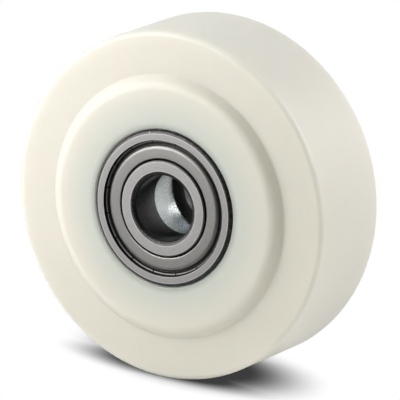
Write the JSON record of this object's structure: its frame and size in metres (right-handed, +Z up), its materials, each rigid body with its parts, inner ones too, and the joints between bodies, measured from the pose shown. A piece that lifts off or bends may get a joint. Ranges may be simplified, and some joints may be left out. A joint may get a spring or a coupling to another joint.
{
  "type": "industrial wheel",
  "caption": "Solid nylon industrial wheel with raised hub bosses, shielded ball bearings pressed into the hub and a spacer tube between their inner rings, for a plain axle.",
  "frame": {"origin": "centre of the wheel, on the axle line, midway between the bearing faces", "axes": "+Y along the axle towards the rear bearing, +Z up, wheel standing on its tread at the lowest point"},
  "size_m": [0.16, 0.06, 0.16],
  "materials": {
    "nylon": "satin cast nylon, natural ivory",
    "ring_steel": "ground bearing steel",
    "shield_steel": "pressed bright steel sheet",
    "plated_tube": "bright zinc plate",
    "cage_steel": "pressed steel strip, oiled",
    "ball_steel": "lapped bearing steel"
  },
  "bodies": {
    "axle_set": {"spacer_tube": "plated_tube", "front_bearing_inner_ring": "ring_steel", "rear_bearing_inner_ring": "ring_steel"},
    "wheel": {"wheel_body": "nylon", "front_bearing_outer_ring": "ring_steel", "front_bearing_outboard_shield": "shield_steel", "front_bearing_inboard_shield": "shield_steel", "rear_bearing_outer_ring": "ring_steel", "rear_bearing_outboard_shield": "shield_steel", "rear_bearing_inboard_shield": "shield_steel"},
    "front_cage": {"front_bearing_cage_outboard_half": "cage_steel", "front_bearing_cage_inboard_half": "cage_steel", "front_bearing_rivet_1": "cage_steel", "front_bearing_rivet_2": "cage_steel", "front_bearing_rivet_3": "cage_steel", "front_bearing_rivet_4": "cage_steel", "front_bearing_rivet_5": "cage_steel", "front_bearing_rivet_6": "cage_steel", "front_bearing_rivet_7": "cage_steel", "front_bearing_rivet_8": "cage_steel"},
    "front_ball_1": {"front_bearing_ball_1": "ball_steel"},
    "front_ball_2": {"front_bearing_ball_2": "ball_steel"},
    "front_ball_3": {"front_bearing_ball_3": "ball_steel"},
    "front_ball_4": {"front_bearing_ball_4": "ball_steel"},
    "front_ball_5": {"front_bearing_ball_5": "ball_steel"},
    "front_ball_6": {"front_bearing_ball_6": "ball_steel"},
    "front_ball_7": {"front_bearing_ball_7": "ball_steel"},
    "front_ball_8": {"front_bearing_ball_8": "ball_steel"},
    "rear_cage": {"rear_bearing_cage_outboard_half": "cage_steel", "rear_bearing_cage_inboard_half": "cage_steel", "rear_bearing_rivet_1": "cage_steel", "rear_bearing_rivet_2": "cage_steel", "rear_bearing_rivet_3": "cage_steel", "rear_bearing_rivet_4": "cage_steel", "rear_bearing_rivet_5": "cage_steel", "rear_bearing_rivet_6": "cage_steel", "rear_bearing_rivet_7": "cage_steel", "rear_bearing_rivet_8": "cage_steel"},
    "rear_ball_1": {"rear_bearing_ball_1": "ball_steel"},
    "rear_ball_2": {"rear_bearing_ball_2": "ball_steel"},
    "rear_ball_3": {"rear_bearing_ball_3": "ball_steel"},
    "rear_ball_4": {"rear_bearing_ball_4": "ball_steel"},
    "rear_ball_5": {"rear_bearing_ball_5": "ball_steel"},
    "rear_ball_6": {"rear_bearing_ball_6": "ball_steel"},
    "rear_ball_7": {"rear_bearing_ball_7": "ball_steel"},
    "rear_ball_8": {"rear_bearing_ball_8": "ball_steel"}
  },
  "joints": [
    {"name": "wheel_spin", "type": "hinge", "parent": "axle_set", "child": "wheel", "pos_m": [0, 0, 0], "axis": [0, 1, 0], "continuous": true},
    {"name": "front_cage_spin", "type": "hinge", "parent": "axle_set", "child": "front_cage", "pos_m": [0, -0.0205, 0], "axis": [0, 1, 0], "continuous": true},
    {"name": "front_ball_1_spin", "type": "hinge", "parent": "front_cage", "child": "front_ball_1", "pos_m": [0.0255, -0.0205, 0], "axis": [0, 1, 0], "continuous": true},
    {"name": "front_ball_2_spin", "type": "hinge", "parent": "front_cage", "child": "front_ball_2", "pos_m": [0.01803, -0.0205, 0.01803], "axis": [0, 1, 0], "continuous": true},
    {"name": "front_ball_3_spin", "type": "hinge", "parent": "front_cage", "child": "front_ball_3", "pos_m": [0, -0.0205, 0.0255], "axis": [0, 1, 0], "continuous": true},
    {"name": "front_ball_4_spin", "type": "hinge", "parent": "front_cage", "child": "front_ball_4", "pos_m": [-0.01803, -0.0205, 0.01803], "axis": [0, 1, 0], "continuous": true},
    {"name": "front_ball_5_spin", "type": "hinge", "parent": "front_cage", "child": "front_ball_5", "pos_m": [-0.0255, -0.0205, 0], "axis": [0, 1, 0], "continuous": true},
    {"name": "front_ball_6_spin", "type": "hinge", "parent": "front_cage", "child": "front_ball_6", "pos_m": [-0.01803, -0.0205, -0.01803], "axis": [0, 1, 0], "continuous": true},
    {"name": "front_ball_7_spin", "type": "hinge", "parent": "front_cage", "child": "front_ball_7", "pos_m": [0, -0.0205, -0.0255], "axis": [0, 1, 0], "continuous": true},
    {"name": "front_ball_8_spin", "type": "hinge", "parent": "front_cage", "child": "front_ball_8", "pos_m": [0.01803, -0.0205, -0.01803], "axis": [0, 1, 0], "continuous": true},
    {"name": "rear_cage_spin", "type": "hinge", "parent": "axle_set", "child": "rear_cage", "pos_m": [0, 0.0205, 0], "axis": [0, 1, 0], "continuous": true},
    {"name": "rear_ball_1_spin", "type": "hinge", "parent": "rear_cage", "child": "rear_ball_1", "pos_m": [0.0255, 0.0205, 0], "axis": [0, 1, 0], "continuous": true},
    {"name": "rear_ball_2_spin", "type": "hinge", "parent": "rear_cage", "child": "rear_ball_2", "pos_m": [0.01803, 0.0205, 0.01803], "axis": [0, 1, 0], "continuous": true},
    {"name": "rear_ball_3_spin", "type": "hinge", "parent": "rear_cage", "child": "rear_ball_3", "pos_m": [0, 0.0205, 0.0255], "axis": [0, 1, 0], "continuous": true},
    {"name": "rear_ball_4_spin", "type": "hinge", "parent": "rear_cage", "child": "rear_ball_4", "pos_m": [-0.01803, 0.0205, 0.01803], "axis": [0, 1, 0], "continuous": true},
    {"name": "rear_ball_5_spin", "type": "hinge", "parent": "rear_cage", "child": "rear_ball_5", "pos_m": [-0.0255, 0.0205, 0], "axis": [0, 1, 0], "continuous": true},
    {"name": "rear_ball_6_spin", "type": "hinge", "parent": "rear_cage", "child": "rear_ball_6", "pos_m": [-0.01803, 0.0205, -0.01803], "axis": [0, 1, 0], "continuous": true},
    {"name": "rear_ball_7_spin", "type": "hinge", "parent": "rear_cage", "child": "rear_ball_7", "pos_m": [0, 0.0205, -0.0255], "axis": [0, 1, 0], "continuous": true},
    {"name": "rear_ball_8_spin", "type": "hinge", "parent": "rear_cage", "child": "rear_ball_8", "pos_m": [0.01803, 0.0205, -0.01803], "axis": [0, 1, 0], "continuous": true}
  ],
  "couplings": [
    {"joint": "front_cage_spin", "follows": "wheel_spin", "ratio": 0.62062},
    {"joint": "front_ball_1_spin", "follows": "wheel_spin", "ratio": 1.952},
    {"joint": "front_ball_2_spin", "follows": "wheel_spin", "ratio": 1.952},
    {"joint": "front_ball_3_spin", "follows": "wheel_spin", "ratio": 1.952},
    {"joint": "front_ball_4_spin", "follows": "wheel_spin", "ratio": 1.952},
    {"joint": "front_ball_5_spin", "follows": "wheel_spin", "ratio": 1.952},
    {"joint": "front_ball_6_spin", "follows": "wheel_spin", "ratio": 1.952},
    {"joint": "front_ball_7_spin", "follows": "wheel_spin", "ratio": 1.952},
    {"joint": "front_ball_8_spin", "follows": "wheel_spin", "ratio": 1.952},
    {"joint": "rear_cage_spin", "follows": "wheel_spin", "ratio": 0.62062},
    {"joint": "rear_ball_1_spin", "follows": "wheel_spin", "ratio": 1.952},
    {"joint": "rear_ball_2_spin", "follows": "wheel_spin", "ratio": 1.952},
    {"joint": "rear_ball_3_spin", "follows": "wheel_spin", "ratio": 1.952},
    {"joint": "rear_ball_4_spin", "follows": "wheel_spin", "ratio": 1.952},
    {"joint": "rear_ball_5_spin", "follows": "wheel_spin", "ratio": 1.952},
    {"joint": "rear_ball_6_spin", "follows": "wheel_spin", "ratio": 1.952},
    {"joint": "rear_ball_7_spin", "follows": "wheel_spin", "ratio": 1.952},
    {"joint": "rear_ball_8_spin", "follows": "wheel_spin", "ratio": 1.952}
  ]
}
